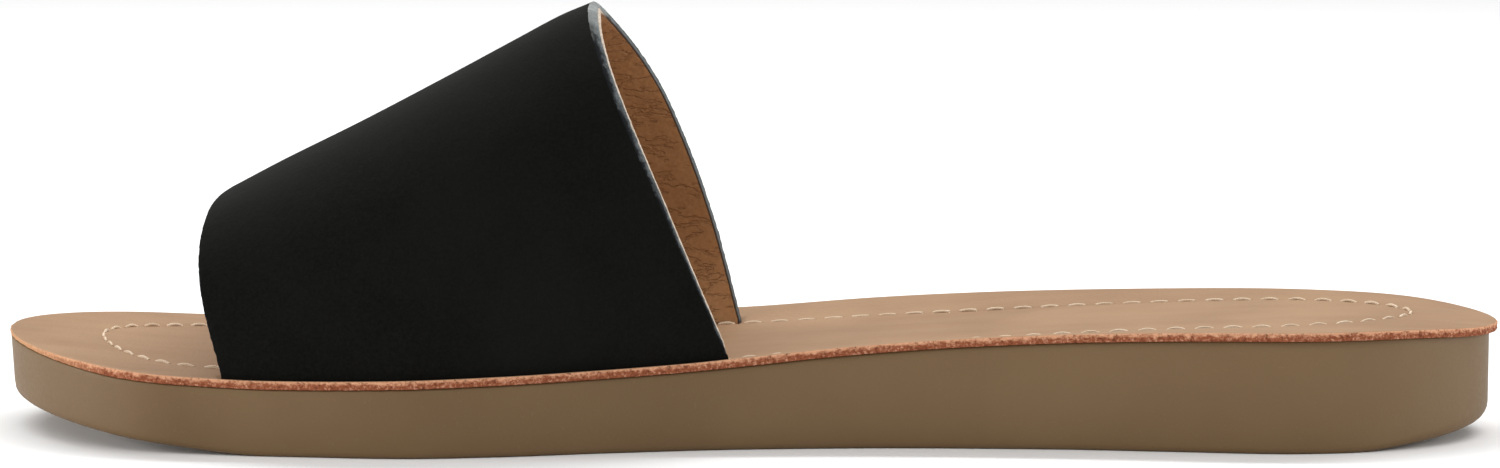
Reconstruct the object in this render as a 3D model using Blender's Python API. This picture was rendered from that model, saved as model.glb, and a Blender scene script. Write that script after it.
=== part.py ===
"""A flat slide sandal for the right foot: a moulded sole, a leather insole and one wide strap.

The toe points along -X and the heel along +X. The inner side, with the big toe, is -Y.
The floor is z = 0, and the origin lies on it under the middle of the sandal.
"""

import math
from collections import namedtuple

import bpy

MM = 0.001

# The insole's length and widths, which are those of the last
INSOLE_LENGTH = 255.5 * MM
BALL_WIDTH = 92.0 * MM
WAIST_WIDTH = 62.0 * MM
HEEL_WIDTH = 62.0 * MM
TOE_ROUND_INNER = 36.0 * MM
TOE_ROUND_OUTER = 50.0 * MM
HEEL_ROUND = 42.0 * MM

# Heights of the insole's top edge above the floor
BALL_HEIGHT = 12.9 * MM
HEEL_HEIGHT = 20.6 * MM
TOE_RISE = 3.7 * MM

# How far the underside leaves the floor at its two tips
TOE_SPRING = 6.0 * MM
HEEL_SPRING = 2.7 * MM

# The insole: one cut sheet, dished towards its middle
INSOLE_THICKNESS = 1.5 * MM
CUP_DEPTH = 1.9 * MM
CUP_REACH = 13.0 * MM
INSOLE_EDGE_ROUND = 0.4 * MM

# The moulded sole
SOLE_SETBACK_TOE = 0.5 * MM
SOLE_SETBACK_HEEL = 1.3 * MM
WALL_DRAFT_TOE = 0.7 * MM
WALL_DRAFT_HEEL = 0.1 * MM
SOLE_BOTTOM_ROUND = 1.2 * MM

# The strap: one wall of outer leather and lining, tucked through slots and under the insole
STRAP_THICKNESS = 2.0 * MM
STRAP_FRONT_HEIGHT = 40.9 * MM
STRAP_BACK_HEIGHT = 73.2 * MM
STRAP_INNER_INSET = 1.8 * MM
STRAP_OUTER_INSET = 9.0 * MM
TUCK_LENGTH = 11.0 * MM
TUCK_BEND = 0.5 * MM

GAP = 0.3 * MM

# How finely the shapes are divided
TOE_STEPS = 10
MIDDLE_STEPS = 24
HEEL_STEPS = 9
STRAP_STEPS_ALONG = 14
STRAP_STEPS_ACROSS = 36
BEND_STEPS = 4
ROUND_STEPS = 4
REBATE_STEPS = 4
CUP_RINGS = (1.0, 0.75, 0.5, 0.25)
SHARP_ANGLE = math.radians(40)

# The insole's outline: half widths from the centre line, as shares of the width that a row follows
Outline = namedtuple("Outline", "along width inner outer")
OUTLINE = (
    Outline(0.00, BALL_WIDTH, 0.420, 0.406),
    Outline(0.05, BALL_WIDTH, 0.458, 0.404),
    Outline(0.10, BALL_WIDTH, 0.474, 0.414),
    Outline(0.15, BALL_WIDTH, 0.480, 0.438),
    Outline(0.21, BALL_WIDTH, 0.494, 0.468),
    Outline(0.28, BALL_WIDTH, 0.506, 0.490),
    Outline(0.35, BALL_WIDTH, 0.472, 0.495),
    Outline(0.42, BALL_WIDTH, 0.410, 0.473),
    Outline(0.50, WAIST_WIDTH, 0.523, 0.640),
    Outline(0.60, WAIST_WIDTH, 0.468, 0.600),
    Outline(0.70, WAIST_WIDTH, 0.460, 0.553),
    Outline(0.78, WAIST_WIDTH, 0.482, 0.518),
    Outline(0.86, HEEL_WIDTH, 0.510, 0.498),
    Outline(1.00, HEEL_WIDTH, 0.515, 0.485),
)

# Side profile: toe_top and toe_bottom are shares of the toe's rise and spring, climb of the way from
# the ball's height to the heel's, cup of the cup's depth, and tail of the heel's spring
Profile = namedtuple("Profile", "along toe_top toe_bottom climb cup tail")
PROFILE = (
    Profile(0.00, 1.00, 1.00, 0.00, 0.00, 0.0),
    Profile(0.06, 0.62, 0.67, 0.00, 0.00, 0.0),
    Profile(0.12, 0.22, 0.32, 0.00, 0.00, 0.0),
    Profile(0.20, 0.00, 0.00, 0.00, 0.00, 0.0),
    Profile(0.29, 0.00, 0.00, 0.05, 0.10, 0.0),
    Profile(0.41, 0.00, 0.00, 0.17, 0.50, 0.0),
    Profile(0.48, 0.00, 0.00, 0.30, 0.76, 0.0),
    Profile(0.58, 0.00, 0.00, 0.61, 1.00, 0.0),
    Profile(0.68, 0.00, 0.00, 0.83, 0.86, 0.0),
    Profile(0.80, 0.00, 0.00, 0.975, 0.44, 0.0),
    Profile(0.90, 0.00, 0.00, 1.00, 0.08, 0.0),
    Profile(0.95, 0.00, 0.00, 0.97, 0.00, 0.4),
    Profile(1.00, 0.00, 0.00, 0.83, 0.00, 1.0),
)

# The strap's cut edges, by share of its girth from the inner foot to the outer one:
# where the front and back edges lie, as shares of the insole's length from the toe
StrapEdge = namedtuple("StrapEdge", "along front back")
STRAP_EDGES = (
    StrapEdge(0.00, 0.1678, 0.4950),
    StrapEdge(0.15, 0.1520, 0.4555),
    StrapEdge(0.30, 0.1495, 0.4175),
    StrapEdge(0.40, 0.1508, 0.4005),
    StrapEdge(0.50, 0.1522, 0.3970),
    StrapEdge(0.60, 0.1515, 0.4045),
    StrapEdge(0.75, 0.1515, 0.4390),
    StrapEdge(0.88, 0.1585, 0.4660),
    StrapEdge(1.00, 0.1690, 0.4860),
)

# The strap's top line: climb is the share of the way from the front edge's height to the back edge's.
# The first and last rows lead the cross-sections on beyond the two edges
TopLine = namedtuple("TopLine", "along climb")
TOP_LINE = (
    TopLine(0.1400, -0.050),
    TopLine(0.1522, 0.000),
    TopLine(0.1890, 0.154),
    TopLine(0.2420, 0.364),
    TopLine(0.2950, 0.585),
    TopLine(0.3486, 0.814),
    TopLine(0.3754, 0.927),
    TopLine(0.3970, 1.000),
    TopLine(0.5000, 1.380),
)

# The last's cross-section under the strap: where its ridge lies between the feet,
# and how square its inner and outer shoulders are (2 is an ellipse)
Section = namedtuple("Section", "along ridge inner_square outer_square")
SECTIONS = (
    Section(0.15, 0.47, 2.9, 2.7),
    Section(0.30, 0.45, 2.5, 2.3),
    Section(0.42, 0.43, 2.3, 2.1),
    Section(0.55, 0.43, 2.2, 2.0),
)


def smooth(rows, along, value):
    """One value of a table's rows at any place between them, on a smooth curve.

    The curve is level at a crest, a trough and both ends of a level run, so it never overshoots.
    """
    places = [row.along for row in rows]
    levels = [value(row) for row in rows]
    along = min(max(along, places[0]), places[-1])
    i = max(k for k in range(len(rows) - 1) if places[k] <= along)

    def slope(k):
        low, high = max(k - 1, 0), min(k + 1, len(rows) - 1)
        rise_before, rise_after = levels[k] - levels[low], levels[high] - levels[k]
        if low < k < high and rise_before * rise_after <= 0:
            return 0.0
        return (levels[high] - levels[low]) / (places[high] - places[low])

    span = places[i + 1] - places[i]
    t = (along - places[i]) / span
    return (
        levels[i] * (1 + 2 * t) * (1 - t) ** 2
        + levels[i + 1] * t * t * (3 - 2 * t)
        + span * t * (1 - t) * (slope(i) * (1 - t) - slope(i + 1) * t)
    )


def along_of(x):
    """The share of the insole's length, from the toe, of a place on the X axis."""
    return x / INSOLE_LENGTH + 0.5


def x_of(along):
    return (along - 0.5) * INSOLE_LENGTH


def round_end(distance, depth):
    """How much of its full width an end that is half an ellipse has, this far from its tip."""
    if distance >= depth:
        return 1.0
    return math.sqrt(max(0.0, 1 - (1 - distance / depth) ** 2))


def half_widths(along):
    """(inner, outer) distance of the insole's edge from the centre line."""
    from_toe = along * INSOLE_LENGTH
    from_heel = (1 - along) * INSOLE_LENGTH
    heel = round_end(from_heel, HEEL_ROUND)
    inner = smooth(OUTLINE, along, lambda row: row.width * row.inner)
    outer = smooth(OUTLINE, along, lambda row: row.width * row.outer)
    inner *= round_end(from_toe, TOE_ROUND_INNER) * heel
    outer *= round_end(from_toe, TOE_ROUND_OUTER) * heel
    return inner, outer


def edge_height(x):
    """The insole's top edge above the floor."""
    along = along_of(x)
    climb = smooth(PROFILE, along, lambda row: row.climb)
    toe = smooth(PROFILE, along, lambda row: row.toe_top)
    return BALL_HEIGHT + (HEEL_HEIGHT - BALL_HEIGHT) * climb + TOE_RISE * toe


def footbed_height(x, inset):
    """The insole's top, this far in from its edge: dished by the cup."""
    depth = CUP_DEPTH * smooth(PROFILE, along_of(x), lambda row: row.cup)
    t = min(max(inset, 0.0) / CUP_REACH, 1.0)
    return edge_height(x) - depth * t * t * (3 - 2 * t)


def ground_height(x):
    """The sole's underside: flat on the floor, and sprung at the toe and the heel."""
    along = along_of(x)
    toe = smooth(PROFILE, along, lambda row: row.toe_bottom)
    tail = smooth(PROFILE, along, lambda row: row.tail)
    return TOE_SPRING * toe + HEEL_SPRING * tail


def stations():
    """Shares of the length from toe to heel, closer together round the two ends."""
    toe = max(TOE_ROUND_INNER, TOE_ROUND_OUTER) / INSOLE_LENGTH
    heel = HEEL_ROUND / INSOLE_LENGTH
    quarter = math.pi / 2
    places = [toe * (1 - math.cos(quarter * i / TOE_STEPS)) for i in range(TOE_STEPS)]
    middle = 1 - toe - heel
    places += [toe + middle * i / MIDDLE_STEPS for i in range(MIDDLE_STEPS)]
    places += [1 - heel * (1 - math.sin(quarter * i / HEEL_STEPS)) for i in range(HEEL_STEPS + 1)]
    return places


def outline_loop():
    """The insole's outline in plan: the toe's tip, the inner side, the heel's tip, the outer side."""
    inner_side, outer_side = [], []
    for along in stations():
        inner, outer = half_widths(along)
        inner_side.append((x_of(along), -inner))
        outer_side.append((x_of(along), outer))
    return inner_side + outer_side[-2:0:-1]


def inset_loop(loop, distances):
    """The loop moved inwards by a distance at each point."""
    moved = []
    for i, (x, y) in enumerate(loop):
        before, after = loop[i - 1], loop[(i + 1) % len(loop)]
        dx, dy = after[0] - before[0], after[1] - before[1]
        length = math.hypot(dx, dy)
        moved.append((x - dy / length * distances[i], y + dx / length * distances[i]))
    return moved


def even(distance, loop):
    return [distance] * len(loop)


def make_object(name, points, faces, material):
    """One closed solid from its points and faces, with its material."""
    mesh = bpy.data.meshes.new(name)
    mesh.from_pydata(points, [], faces)
    mesh.validate()
    made = bpy.data.objects.new(name, mesh)
    bpy.context.scene.collection.objects.link(made)
    if material:
        mesh.materials.append(material)
        mesh.shade_smooth()
        mesh.set_sharp_from_angle(angle=SHARP_ANGLE)
    return made


def slab_from_rings(name, rings, material):
    """A solid from rings of equal length, from the middle of its underside to the middle of its top."""
    count = len(rings[0])
    points = [point for ring in rings for point in ring]
    faces = []
    for level in range(len(rings) - 1):
        low, high = level * count, (level + 1) * count
        for i in range(count):
            j = (i + 1) % count
            faces.append((low + i, low + j, high + j, high + i))
    top = (len(rings) - 1) * count
    faces += [tuple(reversed(face)) for face in ladder(0, count)]
    faces += ladder(top, count)
    return make_object(name, points, faces, material)


def ladder(first, count):
    """Faces across a ring, from its inner side to its outer side."""
    half = count // 2
    faces = [(first, first + 1, first + count - 1)]
    for i in range(1, half - 1):
        faces.append((first + i, first + i + 1, first + count - i - 1, first + count - i))
    faces.append((first + half - 1, first + half, first + half + 1))
    return faces


def make_insole(material):
    """The cut leather insole: an even sheet that follows the cup, its top edge slightly eased."""
    edge = outline_loop()
    ease = INSOLE_EDGE_ROUND
    cup_insets = [CUP_REACH * share for share in CUP_RINGS]

    def ring(inset, drop):
        loop = inset_loop(edge, even(inset, edge))
        return [(x, y, footbed_height(x, inset) - drop) for x, y in loop]

    rings = [ring(inset, INSOLE_THICKNESS) for inset in cup_insets]
    rings.append(ring(0.0, INSOLE_THICKNESS))
    rings.append(ring(0.0, ease))
    rings.append(ring(ease, 0.0))
    rings += [ring(inset, 0.0) for inset in reversed(cup_insets)]
    return slab_from_rings("insole", rings, material)


def setback(x):
    """How far the sole's wall stands in from the insole's edge."""
    return SOLE_SETBACK_TOE + (SOLE_SETBACK_HEEL - SOLE_SETBACK_TOE) * along_of(x)


def draft(x):
    """How much further in the wall's bottom stands than its top."""
    return WALL_DRAFT_TOE + (WALL_DRAFT_HEEL - WALL_DRAFT_TOE) * along_of(x)


def make_sole(material):
    """The moulded sole: its top takes the insole, its wall drafts in slightly and rounds to the floor."""
    edge = outline_loop()
    below = INSOLE_THICKNESS + GAP
    cup_insets = [CUP_REACH * share for share in CUP_RINGS]

    def top_ring(inset):
        loop = inset_loop(edge, even(inset, edge))
        return [(x, y, footbed_height(x, inset) - below) for x, y in loop]

    def bottom_ring(inset, rise):
        loop = inset_loop(edge, [setback(x) + draft(x) + inset for x, _ in edge])
        return [(x, y, ground_height(x) + rise) for x, y in loop]

    rings = [bottom_ring(CUP_REACH, 0.0)]
    for i in range(ROUND_STEPS + 1):
        angle = math.pi / 2 * i / ROUND_STEPS
        inset = SOLE_BOTTOM_ROUND * (1 - math.sin(angle))
        rise = SOLE_BOTTOM_ROUND * (1 - math.cos(angle))
        rings.append(bottom_ring(inset, rise))
    loop = inset_loop(edge, [setback(x) for x, _ in edge])
    top_edge = [(x, y, footbed_height(x, setback(x)) - below) for x, y in loop]
    rings.append(top_edge)
    rings += [top_ring(inset) for inset in reversed(cup_insets)]
    return slab_from_rings("sole", rings, material)


def foot_inset(side):
    """How far the strap's outer face stands in from the insole's edge. The inner side is -1."""
    return STRAP_INNER_INSET if side < 0 else STRAP_OUTER_INSET


def foot_share(side):
    """The share of the strap's girth at which a foot lies."""
    return 0.0 if side < 0 else 1.0


def foot_y(x, side):
    """Where the strap's outer face meets the insole."""
    return side * (half_widths(along_of(x))[side > 0] - foot_inset(side))


def ridge_height(x):
    """The strap's top line, which climbs from the front edge to the back one."""
    climb = smooth(TOP_LINE, along_of(x), lambda row: row.climb)
    return STRAP_FRONT_HEIGHT + (STRAP_BACK_HEIGHT - STRAP_FRONT_HEIGHT) * climb


def arch(x, steps=60):
    """The strap's outer face across the foot at x, from the inner foot over the ridge to the outer one."""
    along = along_of(x)
    inner, outer = foot_y(x, -1), foot_y(x, 1)
    ridge = inner + (outer - inner) * smooth(SECTIONS, along, lambda row: row.ridge)
    inner_power = 2 / smooth(SECTIONS, along, lambda row: row.inner_square)
    outer_power = 2 / smooth(SECTIONS, along, lambda row: row.outer_square)
    low_inner = footbed_height(x, foot_inset(-1))
    low_outer = footbed_height(x, foot_inset(1))
    top = ridge_height(x)
    points = []
    for i in range(steps + 1):
        angle = math.pi / 2 * i / steps
        reach, rise = math.cos(angle) ** inner_power, math.sin(angle) ** inner_power
        points.append((ridge + (inner - ridge) * reach, low_inner + (top - low_inner) * rise))
    for i in range(steps - 1, -1, -1):
        angle = math.pi / 2 * i / steps
        reach, rise = math.cos(angle) ** outer_power, math.sin(angle) ** outer_power
        points.append((ridge + (outer - ridge) * reach, low_outer + (top - low_outer) * rise))
    return points


def at_share(points, share):
    """The point at this share of a line's length."""
    lengths = [math.dist(a, b) for a, b in zip(points, points[1:])]
    left = share * sum(lengths)
    for (a, b), length in zip(zip(points, points[1:]), lengths):
        if left <= length:
            t = left / length
            return tuple(p + (q - p) * t for p, q in zip(a, b))
        left -= length
    return points[-1]


def tuck(x, side):
    """The strap's outer face below the insole's top: through the slot and in under the insole.

    The points run from the tucked end up to just below the insole's top.
    """
    drop = INSOLE_THICKNESS + GAP + STRAP_THICKNESS
    bend = STRAP_THICKNESS + TUCK_BEND
    start = foot_inset(side)
    path = [(TUCK_LENGTH, 0.0), ((TUCK_LENGTH + bend) / 2, 0.0)]
    for i in range(BEND_STEPS + 1):
        angle = math.pi / 2 * i / BEND_STEPS
        path.append((bend * (1 - math.sin(angle)), bend * (1 - math.cos(angle))))
    points = []
    for inward, rise in path:
        z = footbed_height(x, start + inward) - drop + rise
        points.append((foot_y(x, side) - side * inward, z))
    return points


def strap_edges(share):
    """(front, back) of the strap on the X axis, at this share of its girth."""
    front = smooth(STRAP_EDGES, share, lambda row: row.front)
    back = smooth(STRAP_EDGES, share, lambda row: row.back)
    return x_of(front), x_of(back)


def strap_columns(share, overrun=0.0):
    """Places on the X axis from the strap's front edge to its back one, run past both ends."""
    front, back = strap_edges(share)
    columns = [front + (back - front) * k / STRAP_STEPS_ALONG for k in range(STRAP_STEPS_ALONG + 1)]
    columns[0] -= overrun
    columns[-1] += overrun
    return columns


def strap_rows():
    """The strap's outer face as rows of points, from the inner tucked end to the outer one."""
    shares = [j / STRAP_STEPS_ACROSS for j in range(STRAP_STEPS_ACROSS + 1)]
    across = [[(x, *at_share(arch(x), share)) for x in strap_columns(share)] for share in shares]
    return tuck_rows(-1) + across + tuck_rows(1)[::-1]


def tuck_rows(side):
    """A tucked end as rows of points, from its cut end up to just below the insole's top."""
    columns = [[(x, y, z) for y, z in tuck(x, side)] for x in strap_columns(foot_share(side))]
    return [list(row) for row in zip(*columns)]


def offset_rows(rows, distance):
    """The rows moved along the surface's own normals, towards the foot for a positive distance."""
    moved = []
    for j, row in enumerate(rows):
        before, after = rows[max(j - 1, 0)], rows[min(j + 1, len(rows) - 1)]
        moved_row = []
        for k, point in enumerate(row):
            across = [b - a for a, b in zip(before[k], after[k])]
            ahead = [b - a for a, b in zip(row[max(k - 1, 0)], row[min(k + 1, len(row) - 1)])]
            normal = (
                ahead[1] * across[2] - ahead[2] * across[1],
                ahead[2] * across[0] - ahead[0] * across[2],
                ahead[0] * across[1] - ahead[1] * across[0],
            )
            size = math.hypot(*normal)
            moved_row.append(tuple(p - n / size * distance for p, n in zip(point, normal)))
        moved.append(moved_row)
    return moved


def wall_between(name, outside, inside, material):
    """One closed wall between two grids of points."""
    rows, columns = len(outside), len(outside[0])
    points = [point for row in outside for point in row] + [point for row in inside for point in row]
    size = rows * columns
    faces = []
    for j in range(rows - 1):
        for k in range(columns - 1):
            a, b = j * columns + k, (j + 1) * columns + k
            faces.append((a, a + 1, b + 1, b))
            faces.append((size + a, size + b, size + b + 1, size + a + 1))
    rim = [(0, k) for k in range(columns)]
    rim += [(j, columns - 1) for j in range(1, rows)]
    rim += [(rows - 1, k) for k in range(columns - 2, -1, -1)]
    rim += [(j, 0) for j in range(rows - 2, 0, -1)]
    for (j, k), (m, n) in zip(rim, rim[1:] + rim[:1]):
        a, b = j * columns + k, m * columns + n
        faces.append((b, a, size + a, size + b))
    return make_object(name, points, faces, material)


def make_strap(material):
    outside = strap_rows()
    return wall_between("strap", outside, offset_rows(outside, STRAP_THICKNESS), material)


def make_cutter(name, side, insets, low, high):
    """A block that follows the strap's foot, from this far below the insole's top to this far above."""
    floor, roof = [], []
    for inward in insets:
        columns = strap_columns(foot_share(side), overrun=GAP)
        line = [(x, foot_y(x, side) - side * inward) for x in columns]
        inset = foot_inset(side) + inward
        floor.append([(x, y, footbed_height(x, inset) - low) for x, y in line])
        roof.append([(x, y, footbed_height(x, inset) + high) for x, y in line])
    if side < 0:
        floor, roof = roof, floor
    cutter = wall_between(name, floor, roof, None)
    cutter.hide_render = True
    cutter.display_type = "WIRE"
    return cutter


def cut(target, cutter):
    modifier = target.modifiers.new("cut_" + cutter.name, "BOOLEAN")
    modifier.operation = "DIFFERENCE"
    modifier.solver = "EXACT"
    modifier.object = cutter


def cut_slots(insole, sole):
    """Slots through the insole for the strap, and a rebate in the sole for each tucked end."""
    slot_insets = [-GAP, STRAP_THICKNESS + GAP]
    reach = TUCK_LENGTH + 2 * GAP
    rebate_insets = [-GAP + reach * i / REBATE_STEPS for i in range(REBATE_STEPS + 1)]
    slot_depth = 2 * INSOLE_THICKNESS
    rebate_depth = INSOLE_THICKNESS + GAP + STRAP_THICKNESS + GAP
    above = INSOLE_THICKNESS
    for side, word in ((-1, "inner"), (1, "outer")):
        cut(insole, make_cutter(word + "_slot", side, slot_insets, slot_depth, above))
        cut(sole, make_cutter(word + "_rebate", side, rebate_insets, rebate_depth, above))


def plain_material(name, colour, roughness):
    """A plain material of one colour."""
    material = bpy.data.materials.new(name)
    material.use_nodes = True
    shader = material.node_tree.nodes["Principled BSDF"]
    shader.inputs["Base Color"].default_value = (*colour, 1.0)
    shader.inputs["Roughness"].default_value = roughness
    shader.inputs["Metallic"].default_value = 0.0
    return material


def main():
    for old in list(bpy.data.objects):
        bpy.data.objects.remove(old)
    taupe = plain_material("sole_taupe", (0.165, 0.112, 0.062), 0.62)
    tan = plain_material("insole_tan", (0.42, 0.27, 0.165), 0.55)
    black = plain_material("strap_black", (0.010, 0.010, 0.009), 0.85)
    sole = make_sole(taupe)
    insole = make_insole(tan)
    make_strap(black)
    cut_slots(insole, sole)


main()
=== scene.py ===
"""The looks of the slide sandal: a black nubuck strap, a stitched tan insole and a moulded taupe sole.

The toe points along -X, the inner side is -Y and the floor is z = 0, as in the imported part.
"""

import math
from collections import namedtuple

import bmesh
import bpy
import numpy as np
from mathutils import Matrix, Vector, noise

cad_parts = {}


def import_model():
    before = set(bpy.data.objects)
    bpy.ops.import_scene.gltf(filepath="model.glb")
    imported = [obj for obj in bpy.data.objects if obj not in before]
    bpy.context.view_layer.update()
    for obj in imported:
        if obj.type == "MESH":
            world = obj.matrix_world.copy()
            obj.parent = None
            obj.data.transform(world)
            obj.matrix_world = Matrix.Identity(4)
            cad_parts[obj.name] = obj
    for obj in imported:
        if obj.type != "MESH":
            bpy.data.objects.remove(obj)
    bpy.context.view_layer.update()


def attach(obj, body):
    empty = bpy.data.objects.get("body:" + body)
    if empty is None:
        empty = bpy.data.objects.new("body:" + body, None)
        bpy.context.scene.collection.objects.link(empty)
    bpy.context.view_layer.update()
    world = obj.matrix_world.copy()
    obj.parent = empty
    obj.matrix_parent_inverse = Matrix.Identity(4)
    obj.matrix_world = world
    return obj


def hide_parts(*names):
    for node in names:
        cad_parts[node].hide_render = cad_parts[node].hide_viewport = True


MM = 0.001
QUARTER = math.pi / 2

# The insole's length and widths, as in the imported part
INSOLE_LENGTH = 255.5 * MM
BALL_WIDTH = 92.0 * MM
WAIST_WIDTH = 62.0 * MM
HEEL_WIDTH = 62.0 * MM
TOE_ROUND_INNER = 36.0 * MM
TOE_ROUND_OUTER = 50.0 * MM
HEEL_ROUND = 42.0 * MM

# Heights of the insole's top edge, and how far the underside leaves the floor at its two tips
BALL_HEIGHT = 12.9 * MM
HEEL_HEIGHT = 20.6 * MM
TOE_RISE = 3.7 * MM
TOE_SPRING = 6.0 * MM
HEEL_SPRING = 2.7 * MM

# The insole: a sheet whose toe is pared thin, with a rough raw edge
INSOLE_THICKNESS = 1.5 * MM
CUP_DEPTH = 1.9 * MM
CUP_REACH = 13.0 * MM
INSOLE_EDGE_ROUND = 0.35 * MM
PARED_SHARE = 0.40
PARED_ALONG = 0.10
EDGE_FUZZ = 0.20 * MM
EDGE_LUMP_SHARE = 0.6
EDGE_LUMP_SCALE = 0.35
BEVEL_SHARE = 0.3
BEVEL_FUZZ_SHARE = 0.6
PROBE = 1.0 * MM
UNDERSIDE_INSET = 0.12 * MM
FIRST_TOP_INSET = 0.85 * MM
BETWEEN_SLOTS = 6.4 * MM
SLOT_PRESS = 0.3 * MM
SLOT_PRESS_REACH = 1.1 * MM
FOOTBED_WAVE = 0.22 * MM
FOOTBED_WAVE_SCALE = 38.0

# The moulded sole
SOLE_SETBACK_TOE = 0.1 * MM
SOLE_SETBACK_HEEL = 1.3 * MM
WALL_DRAFT_TOE = 0.6 * MM
WALL_DRAFT_HEEL = 0.1 * MM
SOLE_BOTTOM_ROUND = 1.2 * MM
HEEL_BOTTOM_ROUND = 3.0 * MM
SOLE_TOP_ROUND = 0.35 * MM
SEAM = 0.05 * MM

# The strap: outer leather and lining, tucked through slots and under the insole
STRAP_THICKNESS = 2.0 * MM
OUTER_LAYER = 1.35 * MM
GLUE_LINE = 0.05 * MM
CUT_ROUND = 0.18 * MM
STRAP_FRONT_HEIGHT = 40.9 * MM
STRAP_BACK_HEIGHT = 73.2 * MM
STRAP_INNER_INSET = 1.8 * MM
STRAP_OUTER_INSET = 9.0 * MM
TUCK_LENGTH = 11.0 * MM
TUCK_BEND = 0.5 * MM
GAP = 0.3 * MM
TOUCH = 0.01 * MM

# The strap is cut on a slant, so each layer reaches further out than the one above it
FACE_SETBACK = 0.25 * MM
OUTER_SLANT = 1.25 * MM
LINING_LIP = 0.28 * MM
FRONT_SLANT_SHARE = 0.25
FOOT_SLANT_SHARE = 0.25
SLANT_GIRTH = 0.30
SLANT_START, SLANT_RISE = 0.031, 0.015
SLANT_END, SLANT_FALL = 0.54, 0.12
OUTER_FUZZ = 0.12 * MM
LINING_FUZZ = 0.05 * MM
FUZZ_SCALE = 1400.0

# The stitches
STITCH_PITCH = 4.8 * MM
STITCH_LENGTH = 3.0 * MM
STITCH_ARCH = 0.20 * MM
THREAD_WIDTH = 0.50 * MM
STITCH_TROUGH = 0.08 * MM
TROUGH_WIDTH = 0.55 * MM
STITCH_HOLE = 0.22 * MM
HOLE_WIDTH = 0.30 * MM
THREAD_DIP_SHARE = 0.45
THREAD_SEAT_SHARE = 0.25
THREAD_END_SHARE = 0.65
STRANDS = 2.0

# The tread's grooves
GROOVE_PITCH = 5.6 * MM
GROOVE_WIDTH = 1.9 * MM
GROOVE_WALL_SHARE = 0.25
GROOVE_DEPTH = 0.9 * MM
GROOVE_WAVE = 2.2 * MM
WAVES_ACROSS = 3
WAVE_MARGIN_SHARE = 0.3
TREAD_ZONES = ((0.10, 0.46), (0.70, 0.92))
TREAD_FADE = 0.01
WAVE_START, WAVE_END, WAVE_FADE = 0.056, 0.943, 0.035
TREAD_MARGIN_SHARE = 0.1

# Kinds of face on the insole
GRAIN, RAW, FLESH = 0, 1, 2

# How finely the shapes are divided. The offsets are millimetres from the stitch line
STITCH_OFFSETS = (-0.55, -0.38, -0.19, 0.0, 0.19, 0.38, 0.6, 1.0, 1.9)
EDGE_LEVELS = (0.12, 0.3, 0.5, 0.7, 0.88, 1.0)
WALL_LEVELS = (0.2, 0.4, 0.6, 0.8, 0.9)
TOE_STEPS = 110
MIDDLE_STEPS = 330
HEEL_STEPS = 90
ACROSS_STEPS = 30
STRAP_ROWS = 340
STRAP_COLUMNS = 70
ARCH_STEPS = 400
ARCH_PLACES = 220
BEND_STEPS = 8
ROUND_STEPS = 6
RIM_STEPS = 3
STITCH_STEPS = 9
THREAD_SIDES = 8


def table(columns, *rows):
    """A table whose rows have named columns."""
    row_type = namedtuple("Row", columns)
    return tuple(row_type(*row) for row in rows)


# The insole's outline in plan, as shares of a width on each side of the centre line
OUTLINE = table(
    "along width inner outer",
    (0.00, BALL_WIDTH, 0.420, 0.406),
    (0.05, BALL_WIDTH, 0.458, 0.404),
    (0.10, BALL_WIDTH, 0.474, 0.414),
    (0.15, BALL_WIDTH, 0.480, 0.438),
    (0.21, BALL_WIDTH, 0.494, 0.468),
    (0.28, BALL_WIDTH, 0.506, 0.490),
    (0.35, BALL_WIDTH, 0.472, 0.495),
    (0.42, BALL_WIDTH, 0.410, 0.473),
    (0.50, WAIST_WIDTH, 0.523, 0.640),
    (0.60, WAIST_WIDTH, 0.468, 0.600),
    (0.70, WAIST_WIDTH, 0.460, 0.553),
    (0.78, WAIST_WIDTH, 0.482, 0.518),
    (0.86, HEEL_WIDTH, 0.510, 0.498),
    (1.00, HEEL_WIDTH, 0.515, 0.485),
)

# Shares of the rises, springs and dish along the sandal
PROFILE = table(
    "along toe_top toe_bottom climb cup tail",
    (0.00, 1.00, 1.00, 0.00, 0.00, 0.0),
    (0.06, 0.62, 0.67, 0.00, 0.00, 0.0),
    (0.12, 0.22, 0.32, 0.00, 0.00, 0.0),
    (0.20, 0.00, 0.00, 0.00, 0.00, 0.0),
    (0.29, 0.00, 0.00, 0.05, 0.10, 0.0),
    (0.41, 0.00, 0.00, 0.17, 0.50, 0.0),
    (0.48, 0.00, 0.00, 0.30, 0.76, 0.0),
    (0.58, 0.00, 0.00, 0.61, 1.00, 0.0),
    (0.68, 0.00, 0.00, 0.83, 0.86, 0.0),
    (0.80, 0.00, 0.00, 0.975, 0.44, 0.0),
    (0.90, 0.00, 0.00, 1.00, 0.08, 0.0),
    (0.95, 0.00, 0.00, 0.97, 0.00, 0.4),
    (1.00, 0.00, 0.00, 0.83, 0.00, 1.0),
)

# The strap's front and back edges, by the share of its girth
STRAP_EDGES = table(
    "along front back",
    (0.00, 0.1678, 0.4950),
    (0.15, 0.1520, 0.4555),
    (0.30, 0.1495, 0.4175),
    (0.40, 0.1508, 0.4005),
    (0.50, 0.1522, 0.3970),
    (0.60, 0.1515, 0.4045),
    (0.75, 0.1515, 0.4390),
    (0.88, 0.1585, 0.4660),
    (1.00, 0.1690, 0.4860),
)

# How far the strap's top line has climbed from its front height to its back height
TOP_LINE = table(
    "along climb",
    (0.1400, -0.050),
    (0.1522, 0.000),
    (0.1890, 0.154),
    (0.2420, 0.364),
    (0.2950, 0.585),
    (0.3486, 0.814),
    (0.3754, 0.927),
    (0.3970, 1.000),
    (0.5000, 1.380),
)

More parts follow.
